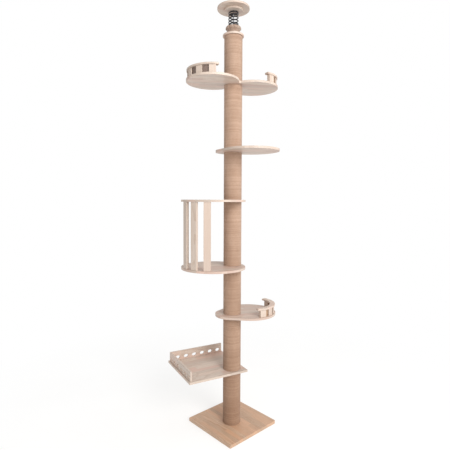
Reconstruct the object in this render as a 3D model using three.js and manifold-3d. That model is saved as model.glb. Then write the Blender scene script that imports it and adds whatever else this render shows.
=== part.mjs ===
// Floor-to-ceiling cat tree: a sisal-wrapped post with five shelves and a spring jack at the top.
// Millimetres, +Z up. The origin is on the post's axis at floor level.
import * as THREE from 'three';
import * as BufferGeometryUtils from 'three/addons/utils/BufferGeometryUtils.js';
import Module from 'manifold-3d';

const wasm = await Module();
wasm.setup();

// ---- driving dimensions ----
const GAP = 0.3;               // clearance kept between pieces that touch
const BOARD = 13;              // thickness of every shelf board

const BASE_SIDE = 402;
const BASE_THICK = 19;
const BASE_CORNER = 8;
const BASE_CENTRE = [2, 22];   // the post stands a little off the middle
const BASE_TURN = 43.34;       // degrees

const POST_RADIUS = 56.8;      // over the sisal
const SISAL_THICK = 5.8;
const CORE_WALL = 6;
const PLUG_LENGTH = 60;        // solid wooden end of each core

const THREAD_RADIUS = 4;       // every bolt, stud and rod is M8
const STUD_REACH = 50;         // how far a stud enters the post on each side of its board
const BOLT_HEAD_RADIUS = 12;
const BOLT_HEAD_HEIGHT = 5;

// underside height of each board above the floor
const TRAY_Z = 358.4;
const LOWER_Z = 717.7;
const CAGE_FLOOR_Z = 1028.4;
const CAGE_ROOF_Z = 1443.2;
const MIDDLE_Z = 1751.9;
const TWIN_Z = 2163.9;
const COLLAR_Z = 2460.4;

const TRAY_LENGTH = 400;
const TRAY_WIDTH = 370;
const TRAY_CENTRE = [-163.7, 39.2];
const TRAY_TURN = 29;
const FENCE_HEIGHT = 60;
const FENCE_THICK = 10;
const FENCE_INSET = 8;
const FENCE_HOLE = [31, 22];   // width and height of each round-ended hole
const FENCE_HOLE_Z = 18;       // middle of the holes above the tray
const FENCE_HOLE_PITCH = 60;
const FENCE_HOLES = 6;
const BACK_LAST_HOLE = 30;     // middle of the last hole to the back board's open end

const LOBE_RADIUS = 171;       // wide end of the two pear-shaped shelves
const NECK_RADIUS = 108;       // narrow end, round the post
const LOWER_LOBE = [110.5, 50.9];
const MIDDLE_LOBE = [113.9, -63.5];

const TWIN_RADIUS = 161;
const TWIN_LOBE = [123.7, 75];
const TWIN_FILLET = 8;

const CAGE_RADIUS = 200;
const CAGE_CENTRE = [-119, -49];
const SLAT_WIDTH = 40.5;
const SLAT_THICK = 17;
const SLAT_INSET = 12;         // cage rim to the middle of a slat
const SLAT_ANGLES = [-147, -123.4, -98];

const RAIL_SWEEP = 121;        // degrees of arc that one railing covers
const RAIL_END = 14;           // degrees from the rail's end to the middle of the end block
const RAIL_WIDTH = 32;
const RAIL_THICK = 11;
const RAIL_INSET = 3;
const BLOCK_WIDTH = 40;
const BLOCK_DEPTH = 20;
const BLOCK_HEIGHT = 45;
const GROOVE_WIDTH = 7.8;
const GROOVE_HEIGHT = 43.7;
const GROOVE_STOP = 9;         // an end block stays solid this far in from its outer side
const INFILL_THICK = 4;
const INFILL_CORNER = 3;       // degrees that the infill runs past an end block's middle

const COLLAR_RADIUS = 65.5;
const COLLAR_HEIGHT = 11;
const WHEEL_RADIUS = 48.5;
const WHEEL_HEIGHT = 50;
const WHEEL_BOSS_RADIUS = 33;
const WHEEL_BOSS_HEIGHT = 15;
const WHEEL_RIM = 7;           // height of the rim's straight part
const WHEEL_CROWN = 9;         // how far the rim rolls in at the top
const FLUTE_COUNT = 10;
const FLUTE_RADIUS = 8;
const FLUTE_DEPTH = 3.5;
const WASHER_RADIUS = 36;
const WASHER_THICK = 2;
const SPRING_RADIUS = 28.6;    // to the middle of the wire
const SPRING_WIRE = 3.4;       // wire radius
const SPRING_HEIGHT = 88;
const SPRING_TURNS = 5.6;
const SPRING_CLOSED_TURNS = 1; // at each end
const SEAT_RADIUS = 60;
const SEAT_THICK = 12;
const SEAT_BORE = 7;
const HEAD_RADIUS = 100;
const HEAD_THICK = 12;
const HEAD_PAD_RADIUS = 92;
const HEAD_PAD_THICK = 3;
const ROD_TOP = 2593.4;

// ---- materials ----
const finish = (color, roughness, metalness = 0) =>
  new THREE.MeshStandardMaterial({ color, roughness, metalness });
const PINE = finish(0xe3cfbd, 0.6);
const BASE_PINE = finish(0xcba986, 0.6);
const CORE = finish(0xb89a78, 0.9);
const SISAL = finish(0xb98f6b, 0.95);
const RUBBER = finish(0x5a5552, 0.9);
const STAINED_PLY = finish(0x8c7871, 0.8);
const PLY = finish(0xb39478, 0.7);
const STEEL = finish(0xb4b6b8, 0.35, 1);
const SPRING_STEEL = finish(0x1c1a1c, 0.4, 0.6);

// ---- helpers ----
const rad = THREE.MathUtils.degToRad;
const tree = new THREE.Group();

function add(name, geometry, material, x = 0, y = 0, z = 0, turn = 0, parent = tree) {
  const mesh = new THREE.Mesh(geometry, material);
  mesh.name = name;
  mesh.position.set(x, y, z);
  mesh.rotation.z = rad(turn);
  parent.add(mesh);
  return mesh;
}

// A flat board from an outline in the XY plane, with its underside at z = 0.
function board(outline, thickness, curveSegments = 12) {
  return new THREE.ExtrudeGeometry(outline, { depth: thickness, bevelEnabled: false, curveSegments });
}

// A turned piece from a closed loop of [radius, height] points, listed so that material is inside.
function turned(loop, segments = 32) {
  const points = [...loop, loop[0]].map(([r, z]) => new THREE.Vector2(r, z));
  const geometry = new THREE.LatheGeometry(points, segments);
  geometry.rotateX(Math.PI / 2);
  return geometry;
}

function ring(inner, outer, height, segments = 32) {
  return turned([[inner, 0], [outer, 0], [outer, height], [inner, height]], segments);
}

function pierce(outline, x, y, radius) {
  const hole = new THREE.Path();
  hole.absarc(x, y, radius, 0, 2 * Math.PI, true);
  outline.holes.push(hole);
  return outline;
}

// A hole with straight sides and half-round ends, lying along X.
function pierceSlot(outline, x, y, [width, height]) {
  const hole = new THREE.Path();
  const radius = height / 2;
  const reach = width / 2 - radius;
  hole.absarc(x - reach, y, radius, 1.5 * Math.PI, 0.5 * Math.PI, true);
  hole.absarc(x + reach, y, radius, 0.5 * Math.PI, -0.5 * Math.PI, true);
  outline.holes.push(hole.closePath());
}

// Where the post's axis lies in the frame of a board that is placed at centre and turned.
function postAxisIn(centre, turn) {
  return new THREE.Vector2(-centre[0], -centre[1]).rotateAround(new THREE.Vector2(), rad(-turn));
}

function circleOutline(x, y, radius) {
  const outline = new THREE.Shape();
  outline.absarc(x, y, radius, 0, 2 * Math.PI, false);
  return outline;
}

function rectangleOutline(width, depth, corner = 0) {
  const outline = new THREE.Shape();
  const x = width / 2 - corner;
  const y = depth / 2 - corner;
  if (corner === 0) {
    return outline.moveTo(-x, -y).lineTo(x, -y).lineTo(x, y).lineTo(-x, y).closePath();
  }
  outline.absarc(x, y, corner, 0, Math.PI / 2, false);
  outline.absarc(-x, y, corner, Math.PI / 2, Math.PI, false);
  outline.absarc(-x, -y, corner, Math.PI, 1.5 * Math.PI, false);
  outline.absarc(x, -y, corner, 1.5 * Math.PI, 2 * Math.PI, false);
  return outline.closePath();
}

function arcStrip(inner, outer, fromDegrees, toDegrees) {
  const outline = new THREE.Shape();
  outline.absarc(0, 0, outer, rad(fromDegrees), rad(toDegrees), false);
  outline.absarc(0, 0, inner, rad(toDegrees), rad(fromDegrees), true);
  return outline.closePath();
}

function toSolid(geometry) {
  const bare = geometry.clone();
  bare.deleteAttribute('normal');
  bare.deleteAttribute('uv');
  const merged = BufferGeometryUtils.mergeVertices(bare, 1e-4);
  const vertProperties = new Float32Array(merged.attributes.position.array);
  const triVerts = new Uint32Array(merged.index.array);
  return new wasm.Manifold(new wasm.Mesh({ numProp: 3, vertProperties, triVerts }));
}

function toGeometry(solid) {
  const mesh = solid.getMesh();
  const geometry = new THREE.BufferGeometry();
  geometry.setAttribute('position', new THREE.BufferAttribute(mesh.vertProperties, 3));
  geometry.setIndex(new THREE.BufferAttribute(mesh.triVerts, 1));
  geometry.computeVertexNormals();
  return geometry;
}

// ---- base ----
function addBase() {
  const plate = toSolid(board(rectangleOutline(BASE_SIDE, BASE_SIDE, BASE_CORNER), BASE_THICK, 3));
  const depth = BOLT_HEAD_HEIGHT + 2 * GAP;
  const reach = BASE_THICK + 1;
  const bore = turned([
    [0, -1], [BOLT_HEAD_RADIUS + GAP, -1], [BOLT_HEAD_RADIUS + GAP, depth],
    [THREAD_RADIUS + GAP, depth], [THREAD_RADIUS + GAP, reach], [0, reach],
  ], 20);
  const axis = postAxisIn(BASE_CENTRE, BASE_TURN);
  bore.translate(axis.x, axis.y, 0);
  const bored = toGeometry(plate.subtract(toSolid(bore)));
  add('base_plate', bored, BASE_PINE, BASE_CENTRE[0], BASE_CENTRE[1], 0, BASE_TURN);

  const bolt = turned([
    [0, 0], [BOLT_HEAD_RADIUS, 0], [BOLT_HEAD_RADIUS, BOLT_HEAD_HEIGHT],
    [THREAD_RADIUS, BOLT_HEAD_HEIGHT], [THREAD_RADIUS, BASE_THICK + STUD_REACH], [0, BASE_THICK + STUD_REACH],
  ], 20);
  add('base_bolt', bolt, STEEL, 0, 0, GAP);
}

// ---- post ----
function postCore(length) {
  const outer = POST_RADIUS - SISAL_THICK - GAP;
  const inner = outer - CORE_WALL;
  const bore = THREAD_RADIUS + GAP;
  return turned([
    [bore, 0], [outer, 0], [outer, length], [bore, length],
    [bore, length - PLUG_LENGTH], [inner, length - PLUG_LENGTH], [inner, PLUG_LENGTH], [bore, PLUG_LENGTH],
  ], 16);
}

function addPost() {
  const boards = [TRAY_Z, LOWER_Z, CAGE_FLOOR_Z, CAGE_ROOF_Z, MIDDLE_Z, TWIN_Z];
  const bottoms = [BASE_THICK, ...boards.map((z) => z + BOARD)];
  const tops = [...boards, COLLAR_Z];
  bottoms.forEach((bottom, i) => {
    const length = tops[i] - bottom - 2 * GAP;
    add(`post_core_${i + 1}`, postCore(length), CORE, 0, 0, bottom + GAP);
    const wrap = ring(POST_RADIUS - SISAL_THICK, POST_RADIUS, length, 32);
    add(`post_sisal_${i + 1}`, wrap, SISAL, 0, 0, bottom + GAP);
  });
  boards.forEach((z, i) => {
    const length = BOARD + 2 * STUD_REACH;
    const stud = new THREE.CylinderGeometry(THREAD_RADIUS, THREAD_RADIUS, length, 16);
    stud.rotateX(Math.PI / 2);
    add(`post_stud_${i + 1}`, stud, STEEL, 0, 0, z + BOARD / 2);
  });
}

// A board that is clamped on the post: the stud passes through it on the post's axis.
function shelfBoard(outline, segments = 28) {
  return board(pierce(outline, 0, 0, THREAD_RADIUS + GAP), BOARD, segments);
}

// ---- railing: a curved rail on blocks, with a thin infill strip let into the blocks ----
// closedSide is 0 where the groove for the infill runs right through, and 1 or -1 on the side where it stops.
function railBlock(closedSide) {
  const block = toSolid(board(rectangleOutline(BLOCK_DEPTH, BLOCK_WIDTH), BLOCK_HEIGHT));
  const groove = board(rectangleOutline(GROOVE_WIDTH, BLOCK_WIDTH + 2), GROOVE_HEIGHT + 1);
  groove.translate(0, -closedSide * (GROOVE_STOP + 1), -1);
  return toGeometry(block.subtract(toSolid(groove)));
}

function addRailing(prefix, centre, lobeRadius, plateTop, startDegrees, blockCount, infill) {
  const group = new THREE.Group();
  group.position.set(centre[0], centre[1], plateTop + GAP);
  group.rotation.z = rad(startDegrees);
  tree.add(group);
  const outer = lobeRadius - RAIL_INSET;
  const middle = outer - RAIL_WIDTH / 2;
  const rail = board(arcStrip(outer - RAIL_WIDTH, outer, 0, RAIL_SWEEP), RAIL_THICK);
  add(`${prefix}_rail`, rail, PINE, 0, 0, BLOCK_HEIGHT + GAP, 0, group);

  const half = INFILL_THICK / 2;
  const from = RAIL_END - INFILL_CORNER;
  const strip = arcStrip(middle - half, middle + half, from, RAIL_SWEEP - from);
  const infillHeight = GROOVE_HEIGHT - 2 * GAP;
  add(`${prefix}_infill`, board(strip, infillHeight, 10), infill, 0, 0, 0, 0, group);

  const step = (RAIL_SWEEP - 2 * RAIL_END) / (blockCount - 1);
  for (let i = 0; i < blockCount; i += 1) {
    const closedSide = (i === blockCount - 1) - (i === 0);
    const block = railBlock(closedSide);
    block.translate(middle, 0, 0);
    add(`${prefix}_block_${i + 1}`, block, PINE, 0, 0, 0, RAIL_END + i * step, group);
  }
}

// ---- tray: a square board with a pierced fence on two sides ----
function fenceBoard(length, firstHole) {
  const outline = new THREE.Shape();
  outline.moveTo(0, 0).lineTo(length, 0).lineTo(length, FENCE_HEIGHT).lineTo(0, FENCE_HEIGHT).closePath();
  for (let i = 0; i < FENCE_HOLES; i += 1) {
    pierceSlot(outline, firstHole + i * FENCE_HOLE_PITCH, FENCE_HOLE_Z, FENCE_HOLE);
  }
  const fence = board(outline, FENCE_THICK, 8);
  fence.rotateX(Math.PI / 2);
  return fence;
}

function addTray() {
  const group = new THREE.Group();
  group.position.set(TRAY_CENTRE[0], TRAY_CENTRE[1], TRAY_Z);
  group.rotation.z = rad(TRAY_TURN);
  tree.add(group);
  const axis = postAxisIn(TRAY_CENTRE, TRAY_TURN);
  const plate = pierce(rectangleOutline(TRAY_LENGTH, TRAY_WIDTH), axis.x, axis.y, THREAD_RADIUS + GAP);
  add('tray_plate', board(plate, BOARD, 8), PINE, 0, 0, 0, 0, group);

  const left = -TRAY_LENGTH / 2 + FENCE_INSET;
  const back = TRAY_WIDTH / 2 - FENCE_INSET;
  const z = BOARD + GAP;
  const sideLength = TRAY_WIDTH - 2 * FENCE_INSET;
  const sideFirst = (sideLength - (FENCE_HOLES - 1) * FENCE_HOLE_PITCH) / 2;
  const side = fenceBoard(sideLength, sideFirst);
  side.rotateZ(Math.PI / 2);
  add('tray_side_board', side, PINE, left, -back, z, 0, group);

  const backStart = left + FENCE_THICK + GAP;
  const backLength = TRAY_LENGTH / 2 - FENCE_INSET - backStart;
  const backFirst = backLength - (FENCE_HOLES - 1) * FENCE_HOLE_PITCH - BACK_LAST_HOLE;
  add('tray_back_board', fenceBoard(backLength, backFirst), PINE, backStart, back, z, 0, group);
}

// ---- pear-shaped shelves: the outline that wraps a small circle and a large one ----
function pearOutline(lobe) {
  const reach = Math.hypot(lobe[0], lobe[1]);
  const heading = Math.atan2(lobe[1], lobe[0]);
  const flank = Math.acos((NECK_RADIUS - LOBE_RADIUS) / reach);
  const outline = new THREE.Shape();
  outline.absarc(lobe[0], lobe[1], LOBE_RADIUS, heading - flank, heading + flank, false);
  outline.absarc(0, 0, NECK_RADIUS, heading + flank, heading - flank + 2 * Math.PI, false);
  return outline.closePath();
}

function addLowerShelf() {
  add('lower_shelf_plate', shelfBoard(pearOutline(LOWER_LOBE)), PINE, 0, 0, LOWER_Z);
  addRailing('lower_shelf', LOWER_LOBE, LOBE_RADIUS, LOWER_Z + BOARD, -73, 5, PLY);
}

function addMiddleShelf() {
  add('middle_shelf_plate', shelfBoard(pearOutline(MIDDLE_LOBE)), PINE, 0, 0, MIDDLE_Z);
}

// ---- cage: two round boards joined by three slats ----
function addCage() {
  const [x, y] = CAGE_CENTRE;
  add('cage_floor', shelfBoard(circleOutline(x, y, CAGE_RADIUS), 36), PINE, 0, 0, CAGE_FLOOR_Z);
  add('cage_roof', shelfBoard(circleOutline(x, y, CAGE_RADIUS), 36), PINE, 0, 0, CAGE_ROOF_Z);
  const bottom = CAGE_FLOOR_Z + BOARD + GAP;
  const height = CAGE_ROOF_Z - GAP - bottom;
  SLAT_ANGLES.forEach((angle, i) => {
    const slat = board(rectangleOutline(SLAT_THICK, SLAT_WIDTH), height);
    slat.translate(CAGE_RADIUS - SLAT_INSET, 0, 0);
    add(`cage_slat_${i + 1}`, slat, PINE, x, y, bottom, angle);
  });
}

// ---- twin shelf: two round lobes on opposite sides of the post, with a filleted waist ----
function twinOutline() {
  const [x, y] = TWIN_LOBE;
  const half = Math.hypot(x, y);
  const heading = Math.atan2(y, x);
  const reach = TWIN_RADIUS + TWIN_FILLET;
  const flank = Math.acos(half / reach);
  const waist = Math.sqrt(reach * reach - half * half);
  const outline = new THREE.Shape();
  for (const facing of [heading, heading + Math.PI]) {
    const from = facing - Math.PI + flank;
    const to = facing + Math.PI - flank;
    outline.absarc(half * Math.cos(facing), half * Math.sin(facing), TWIN_RADIUS, from, to, false);
    const side = facing + Math.PI / 2;
    const filletX = waist * Math.cos(side);
    const filletY = waist * Math.sin(side);
    outline.absarc(filletX, filletY, TWIN_FILLET, facing - flank, facing - Math.PI + flank, true);
  }
  return outline.closePath();
}

function addTwinShelf() {
  add('twin_shelf_plate', shelfBoard(twinOutline(), 24), PINE, 0, 0, TWIN_Z);
  const [x, y] = TWIN_LOBE;
  addRailing('twin_right', [x, y], TWIN_RADIUS, TWIN_Z + BOARD, -56, 4, PLY);
  addRailing('twin_left', [-x, -y], TWIN_RADIUS, TWIN_Z + BOARD, 165.5, 4, STAINED_PLY);
}

// ---- jack: a hand wheel that climbs a fixed rod and lifts a sprung ceiling plate ----
function handWheel() {
  const bore = THREAD_RADIUS + GAP;
  const flare = WHEEL_RADIUS - WHEEL_BOSS_RADIUS;
  const rimTop = WHEEL_HEIGHT - WHEEL_CROWN;
  const rimBottom = rimTop - WHEEL_RIM;
  const rise = rimBottom - WHEEL_BOSS_HEIGHT;
  let wheel = toSolid(turned([
    [bore, 0], [WHEEL_BOSS_RADIUS, 0], [WHEEL_BOSS_RADIUS, WHEEL_BOSS_HEIGHT],
    [WHEEL_BOSS_RADIUS + 0.19 * flare, WHEEL_BOSS_HEIGHT + 0.37 * rise],
    [WHEEL_BOSS_RADIUS + 0.6 * flare, WHEEL_BOSS_HEIGHT + 0.72 * rise],
    [WHEEL_RADIUS, rimBottom], [WHEEL_RADIUS, rimTop],
    [WHEEL_RADIUS - 0.3 * WHEEL_CROWN, WHEEL_HEIGHT - 0.3 * WHEEL_CROWN],
    [WHEEL_RADIUS - WHEEL_CROWN, WHEEL_HEIGHT], [bore, WHEEL_HEIGHT],
  ], 30));
  const cutter = new THREE.CylinderGeometry(FLUTE_RADIUS, FLUTE_RADIUS, WHEEL_HEIGHT, 12);
  cutter.rotateX(Math.PI / 2);
  const reach = WHEEL_RADIUS + FLUTE_RADIUS - FLUTE_DEPTH;
  for (let i = 0; i < FLUTE_COUNT; i += 1) {
    const angle = (i + 0.5) * 2 * Math.PI / FLUTE_COUNT;
    const flute = cutter.clone();
    flute.translate(reach * Math.cos(angle), reach * Math.sin(angle), WHEEL_BOSS_HEIGHT + WHEEL_HEIGHT / 2);
    wheel = wheel.subtract(toSolid(flute));
  }
  return toGeometry(wheel);
}

// A compression spring whose end turns lie close together.
class SpringCurve extends THREE.Curve {
  getPoint(t, target = new THREE.Vector3()) {
    const turns = t * SPRING_TURNS;
    const closedPitch = 2 * SPRING_WIRE + GAP;
    const openTurns = SPRING_TURNS - 2 * SPRING_CLOSED_TURNS;
    const openRise = SPRING_HEIGHT - 2 * SPRING_WIRE - 2 * SPRING_CLOSED_TURNS * closedPitch;
    const low = Math.min(turns, SPRING_CLOSED_TURNS);
    const high = Math.max(turns - SPRING_CLOSED_TURNS - openTurns, 0);
    const open = turns - low - high;
    const z = SPRING_WIRE + (low + high) * closedPitch + open * openRise / openTurns;
    const angle = turns * 2 * Math.PI - Math.PI / 2;
    return target.set(SPRING_RADIUS * Math.cos(angle), SPRING_RADIUS * Math.sin(angle), z);
  }
}

function coilSpring() {
  return new THREE.ExtrudeGeometry(circleOutline(0, 0, SPRING_WIRE), {
    curveSegments: 4, steps: 72, bevelEnabled: false, extrudePath: new SpringCurve(),
  });
}

function addJack() {
  const bore = THREAD_RADIUS + GAP;
  add('top_collar', ring(bore, COLLAR_RADIUS, COLLAR_HEIGHT, 40), PINE, 0, 0, COLLAR_Z);

  const rodBottom = COLLAR_Z - STUD_REACH;
  const rod = new THREE.CylinderGeometry(THREAD_RADIUS, THREAD_RADIUS, ROD_TOP - rodBottom, 16);
  rod.rotateX(Math.PI / 2);
  add('jack_rod', rod, STEEL, 0, 0, (ROD_TOP + rodBottom) / 2);

  const wheelZ = COLLAR_Z + COLLAR_HEIGHT + GAP;
  const washerZ = wheelZ + WHEEL_HEIGHT + GAP;
  const springZ = washerZ + WASHER_THICK + GAP;
  const seatZ = springZ + SPRING_HEIGHT + GAP;
  const headZ = seatZ + SEAT_THICK + GAP;
  add('jack_wheel', handWheel(), PINE, 0, 0, wheelZ);
  add('jack_washer', ring(bore, WASHER_RADIUS, WASHER_THICK, 24), STEEL, 0, 0, washerZ);
  add('jack_spring', coilSpring(), SPRING_STEEL, 0, 0, springZ);
  add('spring_seat', ring(SEAT_BORE, SEAT_RADIUS, SEAT_THICK, 40), PINE, 0, 0, seatZ);
  add('ceiling_plate', ring(SEAT_BORE, HEAD_RADIUS, HEAD_THICK, 56), PINE, 0, 0, headZ);
  const pad = board(circleOutline(0, 0, HEAD_PAD_RADIUS), HEAD_PAD_THICK, 24);
  add('ceiling_pad', pad, RUBBER, 0, 0, headZ + HEAD_THICK + GAP);
}

addBase();
addPost();
addTray();
addLowerShelf();
addCage();
addMiddleShelf();
addTwinShelf();
addJack();

export default tree;
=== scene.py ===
"""Looks for a floor-to-ceiling cat tree.

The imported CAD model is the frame. This script cuts every board from its own piece of pine, winds the post
with rope, turns the hand wheel, cuts the rod's thread, coils the jack's spring, and adds the screws, the
studio and the camera. Metres, +Z up, in the frame's own coordinates.
"""
import math

import bmesh
import bpy
from mathutils import Matrix, Vector, noise


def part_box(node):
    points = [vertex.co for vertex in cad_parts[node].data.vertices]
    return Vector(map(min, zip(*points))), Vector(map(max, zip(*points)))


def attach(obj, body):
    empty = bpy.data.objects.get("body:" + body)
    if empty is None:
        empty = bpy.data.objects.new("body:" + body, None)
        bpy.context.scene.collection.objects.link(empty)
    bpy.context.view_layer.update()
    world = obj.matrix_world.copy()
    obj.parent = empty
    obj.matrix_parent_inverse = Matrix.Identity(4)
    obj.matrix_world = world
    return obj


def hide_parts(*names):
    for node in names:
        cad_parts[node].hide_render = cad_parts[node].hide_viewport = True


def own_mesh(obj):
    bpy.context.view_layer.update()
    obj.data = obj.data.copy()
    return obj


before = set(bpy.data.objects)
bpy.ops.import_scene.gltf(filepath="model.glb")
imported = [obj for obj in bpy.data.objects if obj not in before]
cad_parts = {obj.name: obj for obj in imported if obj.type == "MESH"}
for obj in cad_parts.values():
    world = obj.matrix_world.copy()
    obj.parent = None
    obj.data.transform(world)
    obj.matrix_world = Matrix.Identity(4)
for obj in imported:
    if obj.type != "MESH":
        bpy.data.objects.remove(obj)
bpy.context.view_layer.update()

# ---- driving dimensions ----
ROPE_PITCH = 0.006
ROPE_GROOVE = 0.0017            # depth between two turns of rope
ROPE_WANDER = 0.0003            # how much the rope's surface rises and falls along its length
WANDERS_ROUND = 3.0             # how quickly it does so round the post, and from turn to turn
WANDERS_A_TURN = 0.7
ROPE_COLUMNS = 48               # round the post
ROPE_ROWS = 6                   # across one turn of rope
ROPE_STRANDS = 44               # twists of the rope in one turn round the post
SISAL_THICK = 0.0058
ROPE_DARKENING_HEIGHTS = (0.1, 1.3)      # heights between which the rope goes from darker at the bottom to its full paleness
SLEEVE_CREASE = math.radians(80)

THREAD_PITCH = 0.00125
THREAD_DEPTH = 0.00068
THREAD_COLUMNS = 16
THREAD_ROWS = 4

SPRING_RADIUS = 0.0286          # to the middle of the wire
SPRING_WIRE = 0.0034            # wire radius
SPRING_TURNS = 5.6
SPRING_CLOSED_TURNS = 1         # at each end
SPRING_CLEAR = 0.0003           # between turns that lie together
SPRING_STEPS = 40               # a turn
SPRING_START = -0.25            # where the wire starts, in turns round the axis
WIRE_SIDES = 14
WIRE_CREASE = math.radians(60)

WHEEL_BOSS_RADIUS = 0.033
WHEEL_BOSS_HEIGHT = 0.015
WHEEL_CROWN = 0.009
WHEEL_RIM = 0.007
WHEEL_BORE = 0.0043
FLARE_POWER = 1.6               # how late the boss flares out to the rim
FLUTES = 10
FLUTE_DEPTH = 0.0045
FLUTE_POWER = 1.5               # how narrow a flute's bed is
WHEEL_COLUMNS = 160
FLARE_STEPS = 8
CROWN_STEPS = 6

EDGE = 0.0016                   # rounding of a board's edges
SMALL_EDGE = 0.0009             # rounding of slats, fences, the ceiling pad, its seat and the wheel's corners
FINE_EDGE = 0.0004              # rounding of metal, board tube, infill and the grooved railing blocks
EDGE_SEGMENTS = 3
SHARP_ANGLE = math.radians(35)
FLAT_ANGLE = math.radians(0.5)  # faces that meet at less are one face
WELD_DISTANCE = 1e-5
MERGE_DISTANCE = 1e-6

SCREW_RADIUS = 0.0038
SCREW_PROUD = 0.0004
SCREW_DEPTH = 0.003
SCREW_SIDES = 24
RECESS_DEPTH = 0.0014
RECESS_ARM = 0.0023
RECESS_HALF_WIDTH = 0.00055
RECESS_TAPER = 0.8              # size of the recess at its bed against its mouth
SLAT_SCREW_OFFSET = 0.012       # to each side of a slat's middle
FENCE_SCREW_OFFSETS = (-0.15, 0, 0.15)

# directions of the grain in degrees, seen from above
TRAY_TURN = 29
BASE_TURN = -46.7
HEAD_TURN = 12
LEVEL_BOARD_TURN = {
    "tray_plate": TRAY_TURN,
    "lower_shelf_plate": 14,
    "middle_shelf_plate": -12,
    "twin_shelf_plate": 10,
    "cage_floor": 22,
    "cage_roof": -15,
    "top_collar": 15,
}
FENCE_TURN = {
    "tray_back_board": TRAY_TURN,
    "tray_side_board": TRAY_TURN + 90,
}

# each railing's body and the number of its blocks
RAILINGS = {
    "lower_shelf": ("lower_shelf", 5),
    "twin_right": ("twin_shelf", 4),
    "twin_left": ("twin_shelf", 4),
}
SLATS = 3
POST_SECTIONS = 7

FLOOR_HALF = 30.0
FLOOR_NEAR = 0.4                # the floor starts to fade to white here, from the post
FLOOR_FAR = 2.2
FLOOR_GLOW = 0.6
SKY_LEFT = 0.52                 # light from the left and from the right of the white surroundings
SKY_RIGHT = 1.06
KEY_PLACE = (1.9, -3.3, 2.8)
KEY_TARGET = (0, 0, 1.3)
KEY_SIZE = 2.4
KEY_WATTS = 130

CAMERA_DISTANCE = 2.5           # from the post's axis
CAMERA_HEIGHT = 1.4530
CAMERA_PITCH = math.radians(3.01)
CAMERA_YAW = math.radians(1.09)
CAMERA_ROLL = math.radians(0.22)
CAMERA_LENS = 31.6
CAMERA_SHIFT_Y = -0.00873


# ---- mesh helpers ----
def add_piece(name, mesh, body, material):
    piece = bpy.data.objects.new(name, mesh)
    bpy.context.scene.collection.objects.link(piece)
    mesh.materials.append(material)
    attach(piece, body)
    return piece


def mesh_of(name, vertices, faces, crease=SHARP_ANGLE):
    """A welded mesh with its faces turned outwards, smooth except where faces meet at more than crease."""
    build = bmesh.new()
    points = [build.verts.new(v) for v in vertices]
    for face in faces:
        build.faces.new([points[i] for i in face])
    bmesh.ops.remove_doubles(build, verts=build.verts, dist=MERGE_DISTANCE)
    bmesh.ops.recalc_face_normals(build, faces=build.faces)
    for face in build.faces:
        face.smooth = True
    for edge in build.edges:
        edge.smooth = len(edge.link_faces) == 2 and edge.calc_face_angle(0) < crease
    mesh = bpy.data.meshes.new(name)
    build.to_mesh(mesh)
    build.free()
    return mesh


def rings_to_faces(ring_count, columns, closed):
    """Quads between successive rings of vertices, and from the last ring to the first if closed."""
    faces = []
    for ring in range(ring_count if closed else ring_count - 1):
        low = ring * columns
        high = (ring + 1) % ring_count * columns
        for column in range(columns):
            following = (column + 1) % columns
            faces.append((low + column, low + following, high + following, high + column))
    return faces


def lathe_point(radius, turn, z):
    angle = 2 * math.pi * turn
    return radius * math.cos(angle), radius * math.sin(angle), z


def helical_solid(name, low, high, inner, pitch, columns, rows, radius_at):
    """A sleeve, or a rod if inner is 0, whose outside climbs as a right-hand helix from low to high.

    radius_at(share, turn, z) gives the radius at a share of the pitch, at a share of one turn round the axis.
    """
    turns = (high - low) / pitch
    ring_count = math.ceil((turns + 1) * rows) + 1
    vertices = []
    for ring in range(ring_count):
        for column in range(columns):
            turn = column / columns
            climbed = min(max(ring / rows - 1 + turn, 0), turns)
            z = low + climbed * pitch
            vertices.append(lathe_point(radius_at((climbed - turn) % 1, turn, z), turn, z))
    if inner == 0:
        faces = rings_to_faces(ring_count, columns, closed=False)
        last = (ring_count - 1) * columns
        faces.append(tuple(range(columns)))
        faces.append(tuple(range(last, last + columns)))
        return mesh_of(name, vertices, faces)
    for z in (high, low):
        vertices += [lathe_point(inner, column / columns, z) for column in range(columns)]
    return mesh_of(name, vertices, rings_to_faces(ring_count + 2, columns, closed=True), SLEEVE_CREASE)


# ---- material helpers ----
def linear(*levels):
    """A colour given as 8-bit sRGB levels, as linear RGBA."""
    shares = [level / 255 for level in levels]
    return (*[s / 12.92 if s <= 0.04045 else ((s + 0.055) / 1.055) ** 2.4 for s in shares], 1)


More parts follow.
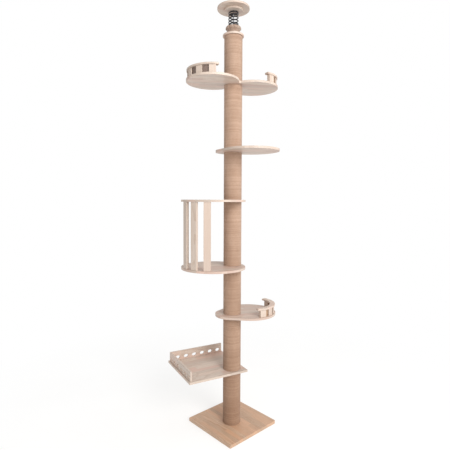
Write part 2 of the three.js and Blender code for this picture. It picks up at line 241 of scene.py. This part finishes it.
class Shader:
    """One material's node tree. Each method adds a node, links or sets its inputs, and returns its output."""

    def __init__(self, name):
        self.material = bpy.data.materials.new(name)
        self.material.use_nodes = True
        self.tree = self.material.node_tree
        self.surface = self.tree.nodes["Principled BSDF"]
        self.place = self.tree.nodes.new("ShaderNodeTexCoord").outputs["Object"]

    def fill(self, socket, value):
        if isinstance(value, bpy.types.NodeSocket):
            self.tree.links.new(value, socket)
        else:
            socket.default_value = value

    def node(self, kind, *values, **settings):
        made = self.tree.nodes.new(kind)
        for key, setting in settings.items():
            setattr(made, key, setting)
        for socket, value in zip(made.inputs, values):
            self.fill(socket, value)
        return made

    def math(self, operation, *values):
        return self.node("ShaderNodeMath", *values, operation=operation).outputs[0]

    def vector(self, operation, *values):
        made = self.node("ShaderNodeVectorMath", *values, operation=operation)
        return made.outputs["Value" if operation in ("DOT_PRODUCT", "LENGTH") else "Vector"]

    def combine(self, x, y, z):
        return self.node("ShaderNodeCombineXYZ", x, y, z).outputs[0]

    def stretch(self, parts, scales):
        """A vector of three values, each multiplied by its own scale."""
        return self.combine(*[self.math("MULTIPLY", part, scale) for part, scale in zip(parts, scales)])

    def separate(self, vector):
        return self.node("ShaderNodeSeparateXYZ", vector).outputs

    def noise(self, vector, scale, detail=2.0, roughness=0.5):
        made = self.node("ShaderNodeTexNoise")
        self.fill(made.inputs["Vector"], vector)
        self.fill(made.inputs["Scale"], scale)
        self.fill(made.inputs["Detail"], detail)
        self.fill(made.inputs["Roughness"], roughness)
        return made.outputs["Fac"]

    def random(self, vector):
        """A random value and a random colour for each whole-numbered vector."""
        made = self.node("ShaderNodeTexWhiteNoise", vector, noise_dimensions="3D")
        return made.outputs["Value"], made.outputs["Color"]

    def rescale(self, value, low, high, new_low=0.0, new_high=1.0):
        """value's range from low to high becomes new_low to new_high, and is held there."""
        return self.node("ShaderNodeMapRange", value, low, high, new_low, new_high).outputs[0]

    def mix(self, share, first, second, blend="MIX"):
        made = self.tree.nodes.new("ShaderNodeMix")
        made.data_type = "RGBA"
        made.blend_type = blend
        self.fill(made.inputs[0], share)
        self.fill(made.inputs[6], first)
        self.fill(made.inputs[7], second)
        return made.outputs[2]

    def bump(self, height, distance):
        made = self.tree.nodes.new("ShaderNodeBump")
        made.inputs["Distance"].default_value = distance
        self.fill(made.inputs["Height"], height)
        self.fill(self.surface.inputs["Normal"], made.outputs[0])

    def finish(self, color, roughness, **constants):
        self.fill(self.surface.inputs["Base Color"], color)
        self.fill(self.surface.inputs["Roughness"], roughness)
        for key, value in constants.items():
            self.surface.inputs[key.replace("_", " ")].default_value = value
        return self.material


# ---- wood ----
# the early wood, the late wood and the warm tint that some lengths take
PINE = linear(208, 193, 180), linear(178, 151, 130), linear(201, 173, 158)
# the wheel's pine is darkened with the painted shade that falls on its sides
WHEEL_PINE_IN_PAINTED_SHADE = linear(170, 151, 136), linear(132, 107, 88), linear(162, 134, 116)
BASE_PINE = linear(206, 177, 151), linear(156, 115, 84), linear(208, 163, 130)
PLY = linear(186, 158, 133), linear(146, 116, 92), linear(182, 148, 120)
# ply darkened with painted shade, for the infill in the shaded gaps of the left twin railing
PLY_PAINTED_SHADE = linear(134, 116, 107), linear(98, 82, 74), linear(124, 104, 94)

# a board is glued from staves, and each stave from lengths with finger joints between them
STAVE_WIDTH = 0.034
STAVE_LENGTH = 0.31
ROW_SHIFT = 0.37                # in staves, from one board's pattern to the next
JOINT_SLIDE = 5.0               # in lengths, the most that a stave's joints are shifted by
FINGER_WIDTH = 0.004
FINGER_LENGTH = 0.009
GLUE_LINE = 0.00035
GLUE_DARK = 0.24
JOINT_STEEPNESS = 0.35          # how far off a finger joint is, for each metre to it along the grain
LENGTH_DARKER = 0.085           # how much darker and lighter than the mean a length can be
LENGTH_LIGHTER = 0.05
LENGTH_WARMTH = 0.75
WARM_FROM = 0.35                # share of the lengths that take no warm tint

# width and length of one piece, in the parts that aren't cut from the usual board
BASE_STAVE = 0.03, 0.42
UPRIGHT_STAVE = 0.06, 0.7
WHEEL_STAVE = 0.07, 0.5
PLY_SHEET = 0.5, 2.0
FENCE_STAVE_WIDTH = 0.08

# growth rings round a heart outside the board
RING_SPACING = 0.0038
RING_POWER = 2.6                # how late in a ring the wood darkens
RING_SLOPE = 0.05               # range of the slopes of the rings to the board
RING_WANDER = 0.012
HEART_SIDEWAYS = 0.16           # range of the heart's places across the board
HEART_NEAREST = 0.012           # and through it, from the nearest
HEART_DEPTH = 0.05

# noise scales along the grain, across it and through the board, and the darkening by each
WANDER_ALONG = 5.0
WANDER_ACROSS = 22.0
FIBRE_SCALES = (9.0, 520.0, 520.0)
FIBRE_RANGE = (0.35, 0.72)
FLECK_SCALES = (34.0, 1300.0, 1300.0)
FLECK_RANGE = (0.6, 0.74)
RING_DARK = 0.42
FIBRE_DARK = 0.34
FLECK_DARK = 0.3
WOOD_RELIEF = 0.00006


def grain_of_level_board(degrees):
    """The directions along and across the grain of a board that lies flat."""
    angle = math.radians(degrees)
    return (math.cos(angle), math.sin(angle), 0), (-math.sin(angle), math.cos(angle), 0)


def grain_of_fence(degrees):
    angle = math.radians(degrees)
    return (math.cos(angle), math.sin(angle), 0), (0, 0, 1)


def grain_of_upright(degrees):
    angle = math.radians(degrees)
    return (0, 0, 1), (math.cos(angle), math.sin(angle), 0)


def wood(name, grain, seed, stave=STAVE_WIDTH, length=STAVE_LENGTH, colors=PINE, contrast=1.0, spread=1.0):
    """Staves glued edge to edge, each of shorter lengths joined by fingers, with growth rings and fibres."""
    s = Shader(name)
    along, across = (Vector(v) for v in grain)
    x = s.vector("DOT_PRODUCT", s.place, along)
    y = s.vector("DOT_PRODUCT", s.place, across)
    z = s.vector("DOT_PRODUCT", s.place, along.cross(across))

    # which stave a point is in, and which length of that stave
    row_place = s.math("ADD", s.math("DIVIDE", y, stave), ROW_SHIFT * seed)
    row = s.math("FLOOR", row_place)
    slide, _ = s.random(s.combine(row, seed, 3.0))
    finger_place = s.math("PINGPONG", y, FINGER_WIDTH / 2)
    fingers = s.math("MULTIPLY", finger_place, 2 * FINGER_LENGTH / FINGER_WIDTH)
    joint_place = s.math("DIVIDE", s.math("ADD", x, fingers), length)
    joint_place = s.math("ADD", joint_place, s.math("MULTIPLY", slide, JOINT_SLIDE))
    block = s.math("FLOOR", joint_place)
    shade, picks = s.random(s.combine(row, block, seed))
    pick_x, pick_y, pick_z = s.separate(picks)

    # growth rings round a heart that lies off each length, at its own slope
    heart_y = s.math("MULTIPLY", s.math("SUBTRACT", pick_x, 0.5), HEART_SIDEWAYS)
    heart_z = s.math("ADD", s.math("MULTIPLY", pick_y, HEART_DEPTH), HEART_NEAREST)
    slope = s.math("MULTIPLY", s.math("SUBTRACT", pick_z, 0.5), RING_SLOPE)
    in_stave = s.math("MULTIPLY", s.math("SUBTRACT", s.math("FRACT", row_place), 0.5), stave)
    ring_y = s.math("ADD", in_stave, heart_y)
    ring_z = s.math("ADD", s.math("ADD", z, heart_z), s.math("MULTIPLY", x, slope))
    wander_x = s.math("MULTIPLY", x, WANDER_ALONG)
    wander_y = s.math("MULTIPLY", y, WANDER_ACROSS)
    wander = s.noise(s.combine(wander_x, wander_y, s.math("ADD", shade, seed)), 1.0)
    reach = s.vector("LENGTH", s.combine(ring_y, ring_z, 0.0))
    reach = s.math("ADD", reach, s.math("MULTIPLY", wander, RING_WANDER))
    ring = s.math("POWER", s.math("FRACT", s.math("DIVIDE", reach, RING_SPACING)), RING_POWER)

    # fibres run along the grain
    fibre = s.noise(s.stretch((x, y, z), FIBRE_SCALES), 1.0, 3.0)
    fleck = s.noise(s.stretch((x, y, z), FLECK_SCALES), 1.0, 1.0)
    dark = s.math("MULTIPLY", ring, RING_DARK * contrast)
    dark = s.math("ADD", dark, s.rescale(fibre, *FIBRE_RANGE, 0.0, FIBRE_DARK * contrast))
    dark = s.math("ADD", dark, s.rescale(fleck, *FLECK_RANGE, 0.0, FLECK_DARK * contrast))

    early, late, warm = colors
    color = s.mix(dark, early, late)
    color = s.mix(s.rescale(pick_y, WARM_FROM, 1.0, 0.0, LENGTH_WARMTH * spread), color, warm)
    level = s.rescale(shade, 0.0, 1.0, 1 - LENGTH_DARKER * spread, 1 + LENGTH_LIGHTER * spread)
    color = s.mix(1.0, color, s.combine(level, level, level), "MULTIPLY")

    # the glue lines between staves and the zigzag of each finger joint
    row_edge = s.math("MULTIPLY", s.math("PINGPONG", row_place, 0.5), stave)
    joint_edge = s.math("MULTIPLY", s.math("PINGPONG", joint_place, 0.5), length)
    seam = s.math("MINIMUM", row_edge, s.math("MULTIPLY", joint_edge, JOINT_STEEPNESS))
    line = s.rescale(seam, 0.0, GLUE_LINE, GLUE_DARK, 0.0)
    color = s.mix(line, color, late)

    relief = s.math("ADD", s.math("MULTIPLY", fibre, 0.6), s.math("MULTIPLY", ring, 0.4))
    s.bump(s.math("SUBTRACT", relief, s.math("MULTIPLY", line, 2.0)), WOOD_RELIEF)
    roughness = s.rescale(fibre, 0.3, 0.7, 0.42, 0.56)
    return s.finish(color, roughness, Coat_Weight=0.12, Coat_Roughness=0.35)


# ---- other materials ----
ROPE_DARK = linear(148, 114, 90)
ROPE_PALE = linear(220, 191, 169)
ROPE_SHADOW = linear(116, 84, 62)
ROPE_LOW_TINT = linear(222, 212, 202)
ROPE_RELIEF = 0.0007
HAIR_SCALES = (1.6, 9.0, 60.0)  # along a strand, up the post and round it
BATCH_SCALES = (14.0, 14.0, 9.0)
RUBBER_DARK = linear(78, 74, 71)
RUBBER_PALE = linear(104, 99, 95)
ZINC_DARK = linear(186, 188, 192)
ZINC_PALE = linear(216, 217, 220)
ZINC_LINES = (40.0, 40.0, 900.0)
SPRING_BLACK = linear(22, 20, 22)
SPRING_GREY = linear(50, 46, 50)
SPRING_SCUFF = linear(96, 90, 92)
BOARD_DARK = linear(148, 118, 88)
BOARD_PALE = linear(186, 154, 120)
BOARD_SEAM = linear(96, 72, 52)
BOARD_WRAP = 0.09               # rise of one turn of the tube's spiral
FLOOR_DARK = linear(168, 167, 165)
FLOOR_PALE = linear(172, 171, 169)
BLACK = (0, 0, 0, 1)
WHITE = (1, 1, 1, 1)


def rope_material():
    """Twisted sisal: the strands slope across each turn, and the grooves between turns and between strands
    are darkened with painted shade.
    """
    s = Shader("sisal_rope")
    x, y, z = s.separate(s.place)
    turn = s.math("DIVIDE", s.math("ARCTAN2", y, x), 2 * math.pi)
    climb = s.math("SUBTRACT", s.math("DIVIDE", z, ROPE_PITCH), turn)
    across = s.math("FRACT", climb)
    lap = s.math("FLOOR", climb)
    strand_place = s.math("ADD", s.math("MULTIPLY", turn, float(ROPE_STRANDS)), climb)
    strand = s.math("ABSOLUTE", s.math("SINE", s.math("MULTIPLY", strand_place, math.pi)))
    hair = s.noise(s.stretch((strand_place, climb, turn), HAIR_SCALES), 1.0, 4.0, 0.65)
    batch = s.noise(s.stretch((x, y, z), BATCH_SCALES), 1.0, 2.0)
    lap_shade, _ = s.random(s.combine(lap, 5.0, 1.0))
    tone = s.math("ADD", s.math("MULTIPLY", hair, 0.85), s.math("MULTIPLY", batch, 0.25))
    tone = s.math("ADD", tone, s.math("MULTIPLY", lap_shade, 0.1))
    color = s.mix(s.rescale(tone, 0.36, 0.86), ROPE_DARK, ROPE_PALE)
    # the rope is darker towards the bottom of the post
    low_darkening = s.mix(s.rescale(z, *ROPE_DARKENING_HEIGHTS), ROPE_LOW_TINT, WHITE)
    color = s.mix(1.0, color, low_darkening, "MULTIPLY")
    # painted shade: the grooves between turns and the valleys between strands are darkened towards
    # ROPE_SHADOW
    groove = s.rescale(s.math("PINGPONG", across, 0.5), 0.0, 0.2, 0.55, 0.0)
    strand_gap_shade = s.rescale(strand, 0.0, 0.5, 0.3, 0.0)
    color = s.mix(s.math("MAXIMUM", groove, strand_gap_shade), color, ROPE_SHADOW)
    s.bump(s.math("ADD", s.math("MULTIPLY", strand, 0.8), s.math("MULTIPLY", hair, 0.5)), ROPE_RELIEF)
    roughness = s.rescale(hair, 0.3, 0.7, 0.95, 0.8)
    return s.finish(color, roughness, Sheen_Weight=0.15, Sheen_Roughness=0.6, Specular_IOR_Level=0.2)


def rubber_material():
    s = Shader("grey_rubber")
    grit = s.noise(s.place, 900.0, 3.0)
    cloud = s.noise(s.place, 22.0, 3.0)
    color = s.mix(s.rescale(s.math("ADD", grit, cloud), 0.7, 1.3), RUBBER_DARK, RUBBER_PALE)
    s.bump(grit, 0.0003)
    return s.finish(color, s.rescale(grit, 0.3, 0.7, 0.95, 0.75), Specular_IOR_Level=0.3)


def zinc_material():
    """Zinc-plated steel, with fine lines round the axis and a cloudy finish."""
    s = Shader("zinc_steel")
    lines = s.noise(s.stretch(s.separate(s.place), ZINC_LINES), 1.0, 3.0)
    cloud = s.noise(s.place, 130.0, 4.0)
    color = s.mix(s.rescale(cloud, 0.35, 0.7), ZINC_DARK, ZINC_PALE)
    s.bump(lines, 0.00004)
    return s.finish(color, s.rescale(s.math("ADD", lines, cloud), 0.7, 1.3, 0.22, 0.4), Metallic=1.0)


def spring_material():
    """Black-oxide spring wire with a thin film of oil."""
    s = Shader("black_spring_steel")
    cloud = s.noise(s.place, 160.0, 4.0)
    scuff = s.noise(s.place, 620.0, 2.0)
    color = s.mix(s.rescale(cloud, 0.35, 0.75), SPRING_BLACK, SPRING_GREY)
    color = s.mix(s.rescale(scuff, 0.62, 0.75, 0.0, 0.5), color, SPRING_SCUFF)
    s.bump(scuff, 0.00005)
    roughness = s.rescale(cloud, 0.3, 0.7, 0.24, 0.42)
    return s.finish(color, roughness, Metallic=0.55, Coat_Weight=0.3, Coat_Roughness=0.2)


def core_material():
    """Spiral-wound board tube."""
    s = Shader("core_board")
    x, y, z = s.separate(s.place)
    turn = s.math("DIVIDE", s.math("ARCTAN2", y, x), 2 * math.pi)
    wrap = s.math("FRACT", s.math("SUBTRACT", s.math("DIVIDE", z, BOARD_WRAP), turn))
    pulp = s.noise(s.place, 260.0, 5.0, 0.6)
    color = s.mix(s.rescale(pulp, 0.35, 0.7), BOARD_DARK, BOARD_PALE)
    color = s.mix(s.rescale(s.math("PINGPONG", wrap, 0.5), 0.0, 0.02, 0.5, 0.0), color, BOARD_SEAM)
    s.bump(pulp, 0.0001)
    return s.finish(color, 0.9)


def floor_material():
    """A pale floor that glows a little, and fades to plain white away from the tree."""
    s = Shader("studio_floor")
    away = s.rescale(s.vector("LENGTH", s.place), FLOOR_NEAR, FLOOR_FAR)
    shade = s.rescale(s.noise(s.place, 2.0, 2.0), 0.3, 0.7, 0.0, 1.0)
    near = s.mix(shade, FLOOR_DARK, FLOOR_PALE)
    s.fill(s.surface.inputs["Emission Color"], WHITE)
    s.fill(s.surface.inputs["Emission Strength"], s.rescale(away, 0.0, 1.0, FLOOR_GLOW, 1.0))
    return s.finish(s.mix(away, near, BLACK), 0.85, Specular_IOR_Level=0.0)


# ---- CAD nodes: rounded edges, smooth shading and a finish ----
def dress(node_name, material, edge):
    """Gives a CAD node its material, smooth shading, and edges rounded by edge."""
    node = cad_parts[node_name]
    for attribute in [a for a in node.data.attributes if a.name == "custom_normal"]:
        node.data.attributes.remove(attribute)
    node.data.polygons.foreach_set("use_smooth", [True] * len(node.data.polygons))
    node.data.materials.clear()
    node.data.materials.append(material)
    weld = node.modifiers.new("weld", "WELD")
    weld.merge_threshold = WELD_DISTANCE
    flatten = node.modifiers.new("flatten", "DECIMATE")
    flatten.decimate_type = "DISSOLVE"
    flatten.angle_limit = FLAT_ANGLE
    rounding = node.modifiers.new("rounding", "BEVEL")
    rounding.width = edge
    rounding.segments = EDGE_SEGMENTS
    rounding.limit_method = "ANGLE"
    rounding.angle_limit = SHARP_ANGLE
    rounding.harden_normals = True


def heading(of_node, from_node):
    """The direction in degrees from one node's middle to another's, seen from above."""
    to = sum(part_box(of_node), Vector()) / 2
    start = sum(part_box(from_node), Vector()) / 2
    return math.degrees(math.atan2(to.y - start.y, to.x - start.x))


def dress_level_boards():
    base_grain = grain_of_level_board(BASE_TURN)
    dress("base_plate", wood("pine_base", base_grain, 7, *BASE_STAVE, BASE_PINE, contrast=1.3), EDGE)
    for seed, (name, degrees) in enumerate(LEVEL_BOARD_TURN.items(), start=20):
        dress(name, wood("pine_" + name, grain_of_level_board(degrees), seed, spread=1.35), EDGE)
    head = wood("pine_ceiling_head", grain_of_level_board(HEAD_TURN), 18)
    dress("spring_seat", head, SMALL_EDGE)
    dress("ceiling_plate", head, EDGE)


def dress_fences():
    for seed, (name, degrees) in enumerate(FENCE_TURN.items(), start=3):
        dress(name, wood("pine_" + name, grain_of_fence(degrees), seed, FENCE_STAVE_WIDTH), SMALL_EDGE)


def dress_slats_and_railings():
    uprights = wood("pine_uprights", grain_of_upright(30), 12, *UPRIGHT_STAVE, spread=0.4)
    for number in range(1, SLATS + 1):
        dress(f"cage_slat_{number}", uprights, SMALL_EDGE)
    # the left twin railing's infill takes ply darkened with painted shade
    shade_darkened_ply = wood("stained_ply", grain_of_upright(0), 13, *PLY_SHEET, PLY_PAINTED_SHADE, contrast=1.2)
    ply = wood("ply", grain_of_upright(0), 13, *PLY_SHEET, PLY, contrast=1.2)
    for seed, (railing, (_, blocks)) in enumerate(RAILINGS.items(), start=14):
        turn = heading(f"{railing}_block_1", f"{railing}_block_{blocks}")
        dress(f"{railing}_rail", wood(f"pine_{railing}_rail", grain_of_level_board(turn), seed), EDGE)
        dress(f"{railing}_infill", shade_darkened_ply if railing == "twin_left" else ply, FINE_EDGE)
        for number in range(1, blocks + 1):
            dress(f"{railing}_block_{number}", uprights, FINE_EDGE)


def dress_post_and_pad(zinc):
    dress("ceiling_pad", rubber_material(), SMALL_EDGE)
    core = core_material()
    for number in range(1, POST_SECTIONS + 1):
        dress(f"post_core_{number}", core, FINE_EDGE)
    for number in range(1, POST_SECTIONS):
        dress(f"post_stud_{number}", zinc, FINE_EDGE)
    for name in ("base_bolt", "jack_washer"):
        dress(name, zinc, FINE_EDGE)


# ---- the rope round each section of the post ----
def wind_rope(node_name, material):
    low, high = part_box(node_name)
    outer = (high.x - low.x) / 2
    half = ROPE_PITCH / 2

    def radius_at(share, turn, z):
        """A round turn of rope, cut off at the depth of its groove, with slow ups and downs."""
        off_crest = (share - 0.5) * ROPE_PITCH
        drop = min(half - math.sqrt(max(half * half - off_crest * off_crest, 0)), ROPE_GROOVE)
        wander = noise.noise(Vector(lathe_point(WANDERS_ROUND, turn, z / ROPE_PITCH * WANDERS_A_TURN)))
        return outer - drop - ROPE_WANDER * (0.5 + 0.5 * wander)

    name = node_name + "_rope"
    inner = outer - SISAL_THICK
    mesh = helical_solid(name, low.z, high.z, inner, ROPE_PITCH, ROPE_COLUMNS, ROPE_ROWS, radius_at)
    rope = add_piece(name, mesh, "post", material)
    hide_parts(node_name)


# ---- the jack ----
def cut_rod(zinc):
    low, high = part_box("jack_rod")
    crest = (high.x - low.x) / 2

    def radius_at(share, turn, z):
        return crest - THREAD_DEPTH * abs(2 * share - 1)

    name = "jack_rod_thread"
    mesh = helical_solid(name, low.z, high.z, 0, THREAD_PITCH, THREAD_COLUMNS, THREAD_ROWS, radius_at)
    rod = add_piece(name, mesh, "post", zinc)
    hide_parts("jack_rod")


def coil_spring():
    """Round wire, closed at both ends and open between."""
    low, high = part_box("jack_spring")
    closed_rise = SPRING_CLOSED_TURNS * (2 * SPRING_WIRE + SPRING_CLEAR)
    open_turns = SPRING_TURNS - 2 * SPRING_CLOSED_TURNS
    open_rise = high.z - low.z - 2 * SPRING_WIRE - 2 * closed_rise
    steps = round(SPRING_TURNS * SPRING_STEPS)
    vertices = []
    for step in range(steps + 1):
        turns = SPRING_TURNS * step / steps
        at_foot = min(turns, SPRING_CLOSED_TURNS)
        at_head = max(turns - SPRING_CLOSED_TURNS - open_turns, 0)
        between = turns - at_foot - at_head
        z = low.z + SPRING_WIRE + (at_foot + at_head) / SPRING_CLOSED_TURNS * closed_rise
        z += between / open_turns * open_rise
        for side in range(WIRE_SIDES):
            round_wire = 2 * math.pi * side / WIRE_SIDES
            radius = SPRING_RADIUS + SPRING_WIRE * math.cos(round_wire)
            vertices.append(lathe_point(radius, SPRING_START + turns, z + SPRING_WIRE * math.sin(round_wire)))
    faces = rings_to_faces(steps + 1, WIRE_SIDES, closed=False)
    faces.append(tuple(range(WIRE_SIDES)))
    faces.append(tuple(range(steps * WIRE_SIDES, (steps + 1) * WIRE_SIDES)))
    mesh = mesh_of("jack_spring_coil", vertices, faces, WIRE_CREASE)
    spring = add_piece("jack_spring_coil", mesh, "jack_carrier", spring_material())
    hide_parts("jack_spring")
    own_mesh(spring)


def wheel_profile(rim, height):
    """The hand wheel's outline as radius and height, up its outside from the bore and in over its top."""
    rim_top = height - WHEEL_CROWN
    rim_bottom = rim_top - WHEEL_RIM
    profile = [(WHEEL_BORE, 0), (WHEEL_BOSS_RADIUS - SMALL_EDGE, 0), (WHEEL_BOSS_RADIUS, SMALL_EDGE)]
    for step in range(FLARE_STEPS + 1):
        share = step / FLARE_STEPS
        radius = WHEEL_BOSS_RADIUS + (rim - WHEEL_BOSS_RADIUS) * share ** FLARE_POWER
        profile.append((radius, WHEEL_BOSS_HEIGHT + (rim_bottom - WHEEL_BOSS_HEIGHT) * share))
    for step in range(CROWN_STEPS + 1):
        angle = math.pi / 2 * step / CROWN_STEPS
        profile.append((rim - WHEEL_CROWN * (1 - math.cos(angle)), rim_top + WHEEL_CROWN * math.sin(angle)))
    profile.append((WHEEL_BORE + SMALL_EDGE, height))
    profile.append((WHEEL_BORE, height - SMALL_EDGE))
    return profile


def turn_wheel():
    """The hand wheel: a boss that flares to a rounded, fluted rim."""
    low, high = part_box("jack_wheel")
    rim = (high.y - low.y) / 2
    profile = wheel_profile(rim, high.z - low.z)
    vertices = []
    for radius, z in profile:
        share = max((radius - WHEEL_BOSS_RADIUS) / (rim - WHEEL_BOSS_RADIUS), 0)
        for column in range(WHEEL_COLUMNS):
            turn = column / WHEEL_COLUMNS
            flute = max(math.cos(2 * math.pi * FLUTES * (turn + 0.5 / FLUTES)), 0) ** FLUTE_POWER
            vertices.append(lathe_point(radius - FLUTE_DEPTH * flute * share, turn, low.z + z))
    name = "jack_wheel_knob"
    mesh = mesh_of(name, vertices, rings_to_faces(len(profile), WHEEL_COLUMNS, closed=True))
    # a darker copy of the pine: painted shade on the wheel's sides
    pine = wood("pine_wheel_painted_shade", grain_of_upright(40), 19, *WHEEL_STAVE, WHEEL_PINE_IN_PAINTED_SHADE)
    knob = add_piece(name, mesh, "jack_wheel", pine)
    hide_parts("jack_wheel")


# ---- screws ----
def screw_mesh(zinc):
    """A countersunk cross-recess screw head that faces up at z = 0, with a short cone under it."""
    build = bmesh.new()

    def loop(points, z):
        verts = [build.verts.new((x, y, z)) for x, y in points]
        return verts, [build.edges.new((verts[i - 1], verts[i])) for i in range(len(verts))]

    def circle(radius):
        return [lathe_point(radius, side / SCREW_SIDES, 0)[:2] for side in range(SCREW_SIDES)]

    arm = RECESS_ARM
    half = RECESS_HALF_WIDTH
    cross = []
    for angle in (0, math.pi / 2, math.pi, 1.5 * math.pi):
        quarter_turn = Matrix.Rotation(angle, 2)
        cross += [quarter_turn @ Vector(corner) for corner in ((arm, -half), (arm, half), (half, half))]
    rim, rim_edges = loop(circle(SCREW_RADIUS - SCREW_PROUD), 0)
    side, side_edges = loop(circle(SCREW_RADIUS), -SCREW_PROUD)
    foot, foot_edges = loop(circle(SCREW_RADIUS / 2), -SCREW_DEPTH)
    mouth, mouth_edges = loop(cross, 0)
    bed, bed_edges = loop([corner * RECESS_TAPER for corner in cross], -RECESS_DEPTH)
    bmesh.ops.bridge_loops(build, edges=rim_edges + mouth_edges)
    bmesh.ops.bridge_loops(build, edges=rim_edges + side_edges)
    bmesh.ops.bridge_loops(build, edges=side_edges + foot_edges)
    bmesh.ops.bridge_loops(build, edges=mouth_edges + bed_edges)
    build.faces.new(foot)
    build.faces.new(bed)
    bmesh.ops.recalc_face_normals(build, faces=build.faces)
    mesh = bpy.data.meshes.new("screw")
    build.to_mesh(mesh)
    build.free()
    mesh.materials.append(zinc)
    return mesh


def add_screw(name, body, mesh, x, y, z, faces_down):
    """Sets a screw in the surface at z. The screws share one mesh."""
    screw = bpy.data.objects.new(name, mesh)
    bpy.context.scene.collection.objects.link(screw)
    proud = -SCREW_PROUD if faces_down else SCREW_PROUD
    screw.matrix_world = Matrix.Translation((x, y, z + proud)) @ Matrix.Rotation(math.pi * faces_down, 4, "X")
    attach(screw, body)


def middle_of(node_name):
    low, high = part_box(node_name)
    return (low.x + high.x) / 2, (low.y + high.y) / 2


def drive_railing_screws(mesh):
    """One screw up into each railing block."""
    for railing, (body, blocks) in RAILINGS.items():
        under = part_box(f"{body}_plate")[0].z
        for number in range(1, blocks + 1):
            x, y = middle_of(f"{railing}_block_{number}")
            add_screw(f"{railing}_screw_{number}", body, mesh, x, y, under, True)


def drive_cage_screws(mesh):
    """Two screws into each end of a slat."""
    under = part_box("cage_floor")[0].z
    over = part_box("cage_roof")[1].z
    middle_x, middle_y = middle_of("cage_floor")
    for number in range(1, SLATS + 1):
        x, y = middle_of(f"cage_slat_{number}")
        out = Vector((x - middle_x, y - middle_y)).normalized()
        for side, offset in (("a", -SLAT_SCREW_OFFSET), ("b", SLAT_SCREW_OFFSET)):
            screw_x = x - out.y * offset
            screw_y = y + out.x * offset
            add_screw(f"cage_floor_screw_{number}{side}", "cage", mesh, screw_x, screw_y, under, True)
            add_screw(f"cage_roof_screw_{number}{side}", "cage", mesh, screw_x, screw_y, over, False)


def drive_fence_screws(mesh):
    """Three screws up into each fence."""
    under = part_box("tray_plate")[0].z
    for fence, degrees in FENCE_TURN.items():
        x, y = middle_of(fence)
        turn = math.radians(degrees)
        for number, offset in enumerate(FENCE_SCREW_OFFSETS, start=1):
            screw_x = x + offset * math.cos(turn)
            screw_y = y + offset * math.sin(turn)
            add_screw(f"{fence}_screw_{number}", "tray", mesh, screw_x, screw_y, under, True)


# ---- studio ----
def make_floor():
    half = FLOOR_HALF
    corners = [(-half, -half, 0), (half, -half, 0), (half, half, 0), (-half, half, 0)]
    mesh = bpy.data.meshes.new("floor")
    mesh.from_pydata(corners, [], [(0, 1, 2, 3)])
    mesh.materials.append(floor_material())
    floor = bpy.data.objects.new("floor", mesh)
    bpy.context.scene.collection.objects.link(floor)


def add_key_light():
    lamp = bpy.data.lights.new("key", "AREA")
    lamp.shape = "DISK"
    lamp.size = KEY_SIZE
    lamp.energy = KEY_WATTS
    holder = bpy.data.objects.new("key", lamp)
    bpy.context.scene.collection.objects.link(holder)
    holder.location = KEY_PLACE
    holder.rotation_euler = (Vector(KEY_TARGET) - Vector(KEY_PLACE)).to_track_quat("-Z", "Y").to_euler()


def light_surroundings():
    """White surroundings that light the tree more from the right than from the left."""
    world = bpy.data.worlds.new("studio")
    world.use_nodes = True
    nodes, links = world.node_tree.nodes, world.node_tree.links
    direction = nodes.new("ShaderNodeSeparateXYZ")
    links.new(nodes.new("ShaderNodeTexCoord").outputs["Generated"], direction.inputs[0])
    sky = nodes.new("ShaderNodeMapRange")
    for name, value in (("From Min", -1.0), ("From Max", 1.0), ("To Min", SKY_LEFT), ("To Max", SKY_RIGHT)):
        sky.inputs[name].default_value = value
    links.new(direction.outputs["X"], sky.inputs["Value"])
    backdrop = nodes.new("ShaderNodeMix")
    links.new(nodes.new("ShaderNodeLightPath").outputs["Is Camera Ray"], backdrop.inputs["Factor"])
    links.new(sky.outputs[0], backdrop.inputs["A"])
    backdrop.inputs["B"].default_value = 1.0
    nodes["Background"].inputs["Color"].default_value = WHITE
    links.new(backdrop.outputs[0], nodes["Background"].inputs["Strength"])
    bpy.context.scene.world = world
    bpy.context.scene.view_settings.view_transform = "Standard"


def add_camera():
    """A camera in front of the post, at the height of the cage's roof, pitched slightly down."""
    level = Vector((math.cos(CAMERA_YAW), math.sin(CAMERA_YAW), 0))
    forward = Vector((-math.sin(CAMERA_YAW), math.cos(CAMERA_YAW), 0))
    ahead = forward * math.cos(CAMERA_PITCH) - Vector((0, 0, math.sin(CAMERA_PITCH)))
    upward = level.cross(ahead)
    right = level * math.cos(CAMERA_ROLL) + upward * math.sin(CAMERA_ROLL)
    top = right.cross(ahead)
    camera = bpy.data.cameras.new("camera")
    camera.lens = CAMERA_LENS
    camera.shift_y = CAMERA_SHIFT_Y
    holder = bpy.data.objects.new("camera", camera)
    bpy.context.scene.collection.objects.link(holder)
    turn = Matrix((right, top, -ahead)).transposed().to_4x4()
    holder.matrix_world = Matrix.Translation((0, -CAMERA_DISTANCE, CAMERA_HEIGHT)) @ turn
    bpy.context.scene.camera = holder


# ---- build ----
add_camera()
light_surroundings()
add_key_light()
make_floor()

zinc_steel = zinc_material()
sisal_rope = rope_material()
for section in range(1, POST_SECTIONS + 1):
    wind_rope(f"post_sisal_{section}", sisal_rope)
dress_level_boards()
dress_fences()
dress_slats_and_railings()
dress_post_and_pad(zinc_steel)
cut_rod(zinc_steel)
coil_spring()
turn_wheel()

screw_head = screw_mesh(zinc_steel)
drive_railing_screws(screw_head)
drive_cage_screws(screw_head)
drive_fence_screws(screw_head)
